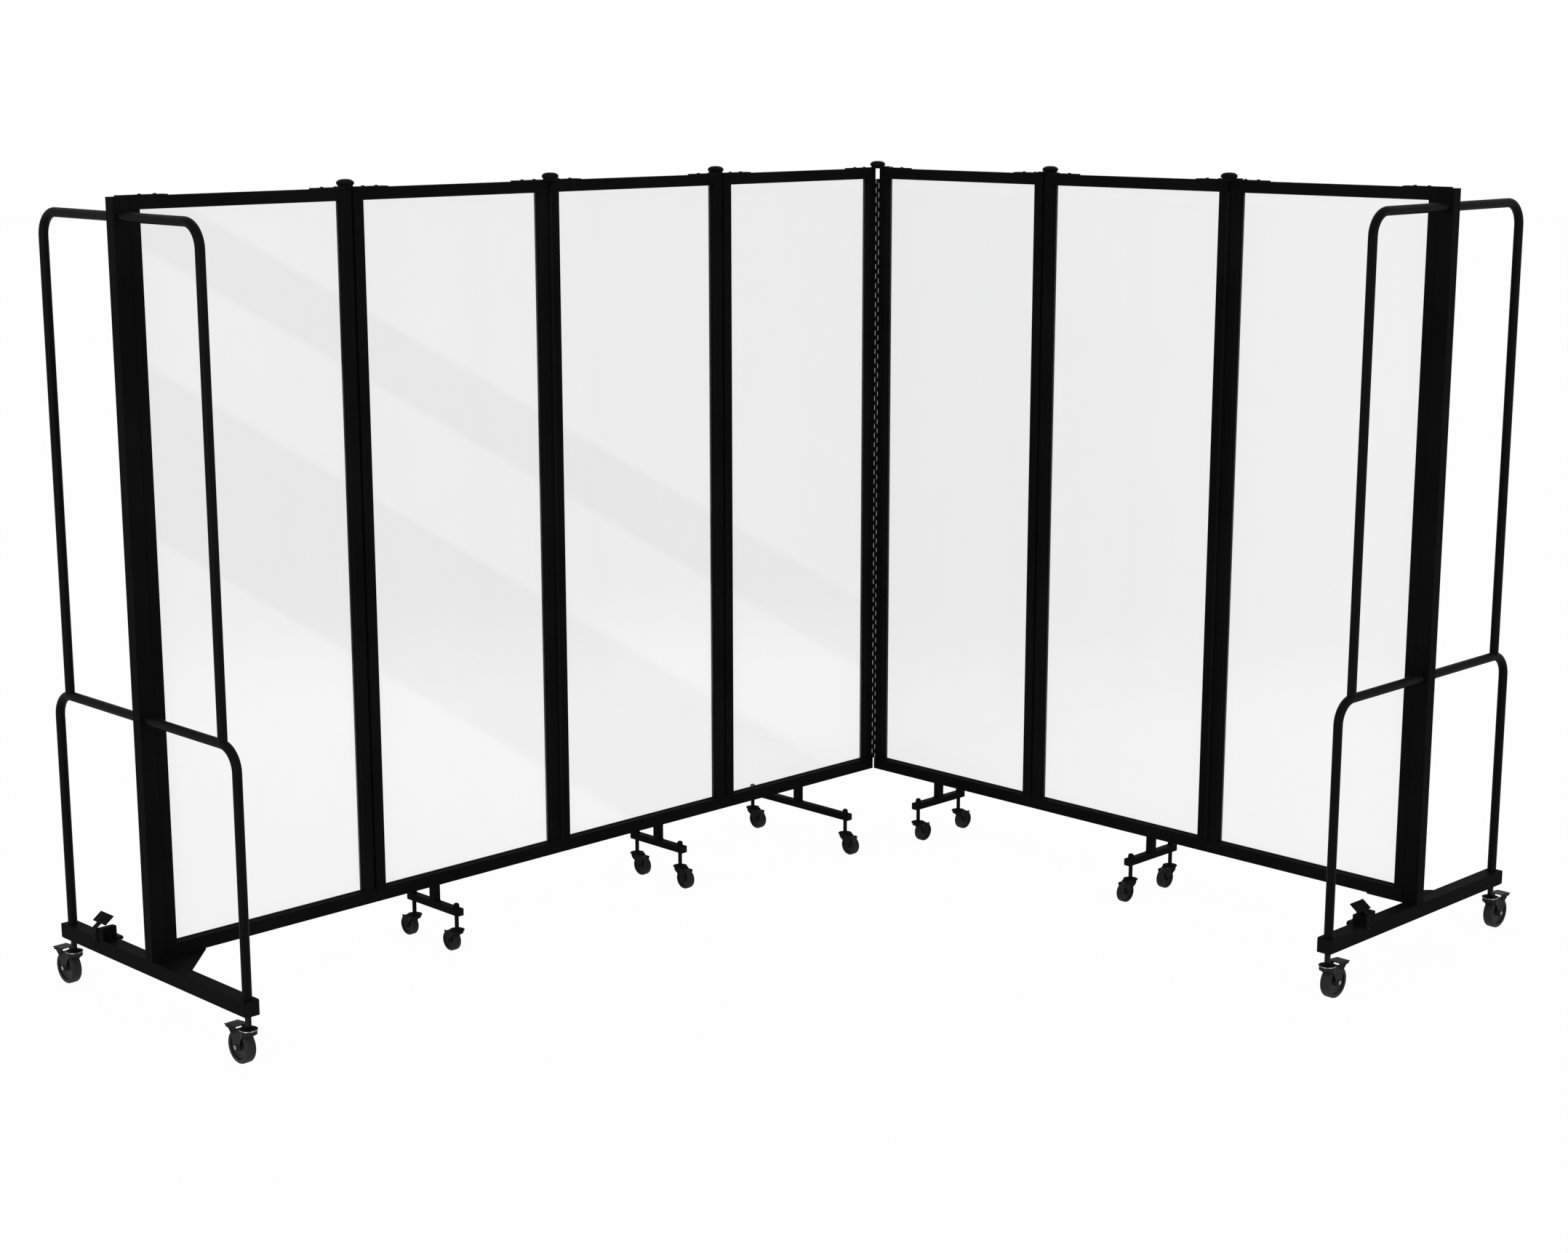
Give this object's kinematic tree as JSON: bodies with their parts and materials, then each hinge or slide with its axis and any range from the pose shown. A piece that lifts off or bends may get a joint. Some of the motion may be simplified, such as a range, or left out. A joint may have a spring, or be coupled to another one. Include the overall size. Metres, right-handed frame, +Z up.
{
  "type": "portable room divider",
  "caption": "Folding portable room divider of hinged clear panels in black frames, on castors, with braked end feet, guard loops and stack latches, set up in an L.",
  "frame": {"origin": "on the floor, below the centre of the bounding box", "axes": "+Z up, the left wing of the L runs along X and the right wing along -Y"},
  "size_m": [2.706, 2.146, 1.7982],
  "materials": {
    "black_frame": "satin black powder coat",
    "black_tube": "semi-gloss black powder coat",
    "black_hinge": "semi-gloss black",
    "clear_pane": "clear acrylic sheet",
    "castor_fork": "black stamped steel",
    "castor_wheel": "dark moulded wheel"
  },
  "bodies": {
    "panel_1": {"panel_1_frame": "black_frame", "panel_1_pane": "clear_pane", "panel_1_hinges": "black_hinge", "end_frame_left": "black_frame", "guard_loops_left": "black_tube"},
    "panel_2": {"panel_2_frame": "black_frame", "panel_2_pane": "clear_pane", "panel_2_hinges": "black_hinge"},
    "panel_3": {"panel_3_frame": "black_frame", "panel_3_pane": "clear_pane", "panel_3_hinges": "black_hinge"},
    "panel_4": {"panel_4_frame": "black_frame", "panel_4_pane": "clear_pane", "panel_4_hinges": "black_hinge"},
    "panel_5": {"panel_5_frame": "black_frame", "panel_5_pane": "clear_pane", "panel_5_hinges": "black_hinge"},
    "panel_6": {"panel_6_frame": "black_frame", "panel_6_pane": "clear_pane", "panel_6_hinges": "black_hinge"},
    "panel_7": {"panel_7_frame": "black_frame", "panel_7_pane": "clear_pane", "panel_7_hinges": "black_hinge", "end_frame_right": "black_frame", "guard_loops_right": "black_tube"},
    "latch_lever_left": {"latch_lever_left": "black_hinge"},
    "latch_lever_right": {"latch_lever_right": "black_hinge"},
    "castor_1_front_fork": {"castor_1_front_fork": "castor_fork"},
    "castor_1_front_wheel": {"castor_1_front_wheel": "castor_wheel"},
    "castor_1_back_fork": {"castor_1_back_fork": "castor_fork"},
    "castor_1_back_wheel": {"castor_1_back_wheel": "castor_wheel"},
    "castor_2_front_fork": {"castor_2_front_fork": "castor_fork"},
    "castor_2_front_wheel": {"castor_2_front_wheel": "castor_wheel"},
    "castor_2_back_fork": {"castor_2_back_fork": "castor_fork"},
    "castor_2_back_wheel": {"castor_2_back_wheel": "castor_wheel"},
    "castor_3_front_fork": {"castor_3_front_fork": "castor_fork"},
    "castor_3_front_wheel": {"castor_3_front_wheel": "castor_wheel"},
    "castor_3_back_fork": {"castor_3_back_fork": "castor_fork"},
    "castor_3_back_wheel": {"castor_3_back_wheel": "castor_wheel"},
    "castor_4_front_fork": {"castor_4_front_fork": "castor_fork"},
    "castor_4_front_wheel": {"castor_4_front_wheel": "castor_wheel"},
    "castor_4_back_fork": {"castor_4_back_fork": "castor_fork"},
    "castor_4_back_wheel": {"castor_4_back_wheel": "castor_wheel"},
    "castor_5_front_fork": {"castor_5_front_fork": "castor_fork"},
    "castor_5_front_wheel": {"castor_5_front_wheel": "castor_wheel"},
    "castor_5_back_fork": {"castor_5_back_fork": "castor_fork"},
    "castor_5_back_wheel": {"castor_5_back_wheel": "castor_wheel"},
    "castor_6_front_fork": {"castor_6_front_fork": "castor_fork"},
    "castor_6_front_wheel": {"castor_6_front_wheel": "castor_wheel"},
    "castor_6_back_fork": {"castor_6_back_fork": "castor_fork"},
    "castor_6_back_wheel": {"castor_6_back_wheel": "castor_wheel"},
    "castor_7_front_fork": {"castor_7_front_fork": "castor_fork"},
    "castor_7_front_wheel": {"castor_7_front_wheel": "castor_wheel"},
    "castor_7_back_fork": {"castor_7_back_fork": "castor_fork"},
    "castor_7_back_wheel": {"castor_7_back_wheel": "castor_wheel"},
    "brake_pedal_1_front": {"brake_pedal_1_front": "castor_fork"},
    "brake_pedal_1_back": {"brake_pedal_1_back": "castor_fork"},
    "brake_pedal_7_front": {"brake_pedal_7_front": "castor_fork"},
    "brake_pedal_7_back": {"brake_pedal_7_back": "castor_fork"}
  },
  "joints": [
    {"name": "fold_3_4", "type": "hinge", "parent": "panel_4", "child": "panel_3", "pos_m": [0.3639, 0.6729, 0.9], "axis": [0, 0, -1], "range_deg": [0, 180]},
    {"name": "fold_2_3", "type": "hinge", "parent": "panel_3", "child": "panel_2", "pos_m": [-0.1961, 0.6439, 0.9], "axis": [0, 0, 1], "range_deg": [0, 180]},
    {"name": "fold_1_2", "type": "hinge", "parent": "panel_2", "child": "panel_1", "pos_m": [-0.7561, 0.6729, 0.9], "axis": [0, 0, -1], "range_deg": [0, 180]},
    {"name": "fold_4_5", "type": "hinge", "parent": "panel_4", "child": "panel_5", "pos_m": [0.9239, 0.6439, 0.9], "axis": [0, 0, -1], "range_deg": [-90, 90]},
    {"name": "fold_5_6", "type": "hinge", "parent": "panel_5", "child": "panel_6", "pos_m": [0.9529, 0.0839, 0.9], "axis": [0, 0, 1], "range_deg": [0, 180]},
    {"name": "fold_6_7", "type": "hinge", "parent": "panel_6", "child": "panel_7", "pos_m": [0.9239, -0.4761, 0.9], "axis": [0, 0, -1], "range_deg": [0, 180]},
    {"name": "swivel_1_front", "type": "hinge", "parent": "panel_1", "child": "castor_1_front_fork", "pos_m": [-1.33275, 0.3098, 0.08], "axis": [0, 0, 1], "continuous": true},
    {"name": "roll_1_front", "type": "hinge", "parent": "castor_1_front_fork", "child": "castor_1_front_wheel", "pos_m": [-1.33275, 0.3368, 0.0375], "axis": [1, 0, 0], "continuous": true},
    {"name": "swivel_1_back", "type": "hinge", "parent": "panel_1", "child": "castor_1_back_fork", "pos_m": [-1.33275, 1.007, 0.08], "axis": [0, 0, 1], "continuous": true},
    {"name": "roll_1_back", "type": "hinge", "parent": "castor_1_back_fork", "child": "castor_1_back_wheel", "pos_m": [-1.33275, 1.034, 0.0375], "axis": [1, 0, 0], "continuous": true},
    {"name": "swivel_2_front", "type": "hinge", "parent": "panel_2", "child": "castor_2_front_fork", "pos_m": [-0.5791, 0.5768, 0.055], "axis": [0, 0, 1], "continuous": true},
    {"name": "roll_2_front", "type": "hinge", "parent": "castor_2_front_fork", "child": "castor_2_front_wheel", "pos_m": [-0.5791, 0.5968, 0.025], "axis": [1, 0, 0], "continuous": true},
    {"name": "swivel_2_back", "type": "hinge", "parent": "panel_2", "child": "castor_2_back_fork", "pos_m": [-0.5791, 0.74, 0.055], "axis": [0, 0, 1], "continuous": true},
    {"name": "roll_2_back", "type": "hinge", "parent": "castor_2_back_fork", "child": "castor_2_back_wheel", "pos_m": [-0.5791, 0.76, 0.025], "axis": [1, 0, 0], "continuous": true},
    {"name": "swivel_3_front", "type": "hinge", "parent": "panel_3", "child": "castor_3_front_fork", "pos_m": [0.1354, 0.5768, 0.055], "axis": [0, 0, 1], "continuous": true},
    {"name": "roll_3_front", "type": "hinge", "parent": "castor_3_front_fork", "child": "castor_3_front_wheel", "pos_m": [0.1354, 0.5568, 0.025], "axis": [-1, 0, 0], "continuous": true},
    {"name": "swivel_3_back", "type": "hinge", "parent": "panel_3", "child": "castor_3_back_fork", "pos_m": [0.1354, 0.74, 0.055], "axis": [0, 0, 1], "continuous": true},
    {"name": "roll_3_back", "type": "hinge", "parent": "castor_3_back_fork", "child": "castor_3_back_wheel", "pos_m": [0.1354, 0.72, 0.025], "axis": [-1, 0, 0], "continuous": true},
    {"name": "swivel_4_front", "type": "hinge", "parent": "panel_4", "child": "castor_4_front_fork", "pos_m": [0.6439, 0.4834, 0.055], "axis": [0, 0, 1], "continuous": true},
    {"name": "roll_4_front", "type": "hinge", "parent": "castor_4_front_fork", "child": "castor_4_front_wheel", "pos_m": [0.6439, 0.4634, 0.025], "axis": [-1, 0, 0], "continuous": true},
    {"name": "swivel_4_back", "type": "hinge", "parent": "panel_4", "child": "castor_4_back_fork", "pos_m": [0.6439, 0.8334, 0.055], "axis": [0, 0, 1], "continuous": true},
    {"name": "roll_4_back", "type": "hinge", "parent": "castor_4_back_fork", "child": "castor_4_back_wheel", "pos_m": [0.6439, 0.8134, 0.025], "axis": [-1, 0, 0], "continuous": true},
    {"name": "swivel_5_front", "type": "hinge", "parent": "panel_5", "child": "castor_5_front_fork", "pos_m": [0.8568, 0.4154, 0.055], "axis": [0, 0, 1], "continuous": true},
    {"name": "roll_5_front", "type": "hinge", "parent": "castor_5_front_fork", "child": "castor_5_front_wheel", "pos_m": [0.8768, 0.4154, 0.025], "axis": [0, -1, 0], "continuous": true},
    {"name": "swivel_5_back", "type": "hinge", "parent": "panel_5", "child": "castor_5_back_fork", "pos_m": [1.02, 0.4154, 0.055], "axis": [0, 0, 1], "continuous": true},
    {"name": "roll_5_back", "type": "hinge", "parent": "castor_5_back_fork", "child": "castor_5_back_wheel", "pos_m": [1.04, 0.4154, 0.025], "axis": [0, -1, 0], "continuous": true},
    {"name": "swivel_6_front", "type": "hinge", "parent": "panel_6", "child": "castor_6_front_fork", "pos_m": [0.8568, -0.2991, 0.055], "axis": [0, 0, 1], "continuous": true},
    {"name": "roll_6_front", "type": "hinge", "parent": "castor_6_front_fork", "child": "castor_6_front_wheel", "pos_m": [0.8368, -0.2991, 0.025], "axis": [0, 1, 0], "continuous": true},
    {"name": "swivel_6_back", "type": "hinge", "parent": "panel_6", "child": "castor_6_back_fork", "pos_m": [1.02, -0.2991, 0.055], "axis": [0, 0, 1], "continuous": true},
    {"name": "roll_6_back", "type": "hinge", "parent": "castor_6_back_fork", "child": "castor_6_back_wheel", "pos_m": [1, -0.2991, 0.025], "axis": [0, 1, 0], "continuous": true},
    {"name": "swivel_7_front", "type": "hinge", "parent": "panel_7", "child": "castor_7_front_fork", "pos_m": [0.5898, -1.05275, 0.08], "axis": [0, 0, 1], "continuous": true},
    {"name": "roll_7_front", "type": "hinge", "parent": "castor_7_front_fork", "child": "castor_7_front_wheel", "pos_m": [0.6168, -1.05275, 0.0375], "axis": [0, -1, 0], "continuous": true},
    {"name": "swivel_7_back", "type": "hinge", "parent": "panel_7", "child": "castor_7_back_fork", "pos_m": [1.287, -1.05275, 0.08], "axis": [0, 0, 1], "continuous": true},
    {"name": "roll_7_back", "type": "hinge", "parent": "castor_7_back_fork", "child": "castor_7_back_wheel", "pos_m": [1.314, -1.05275, 0.0375], "axis": [0, -1, 0], "continuous": true},
    {"name": "brake_1_front", "type": "hinge", "parent": "castor_1_front_fork", "child": "brake_pedal_1_front", "pos_m": [-1.33275, 0.3488, 0.0705], "axis": [1, 0, 0], "range_deg": [0, 12]},
    {"name": "brake_1_back", "type": "hinge", "parent": "castor_1_back_fork", "child": "brake_pedal_1_back", "pos_m": [-1.33275, 1.046, 0.0705], "axis": [1, 0, 0], "range_deg": [0, 12]},
    {"name": "brake_7_front", "type": "hinge", "parent": "castor_7_front_fork", "child": "brake_pedal_7_front", "pos_m": [0.6288, -1.05275, 0.0705], "axis": [0, -1, 0], "range_deg": [0, 12]},
    {"name": "brake_7_back", "type": "hinge", "parent": "castor_7_back_fork", "child": "brake_pedal_7_back", "pos_m": [1.326, -1.05275, 0.0705], "axis": [0, -1, 0], "range_deg": [0, 12]},
    {"name": "latch_left", "type": "hinge", "parent": "panel_1", "child": "latch_lever_left", "pos_m": [-1.33275, 0.87765, 0.1419], "axis": [-1, 0, 0], "range_deg": [0, 25]},
    {"name": "latch_right", "type": "hinge", "parent": "panel_7", "child": "latch_lever_right", "pos_m": [0.71915, -1.05275, 0.1419], "axis": [0, -1, 0], "range_deg": [0, 25]}
  ],
  "couplings": [
    {"joint": "fold_3_4", "follows": "fold_2_3", "ratio": 1},
    {"joint": "fold_1_2", "follows": "fold_2_3", "ratio": 1},
    {"joint": "fold_4_5", "follows": "fold_2_3", "ratio": 0.5},
    {"joint": "fold_5_6", "follows": "fold_2_3", "ratio": 1},
    {"joint": "fold_6_7", "follows": "fold_2_3", "ratio": 1}
  ]
}
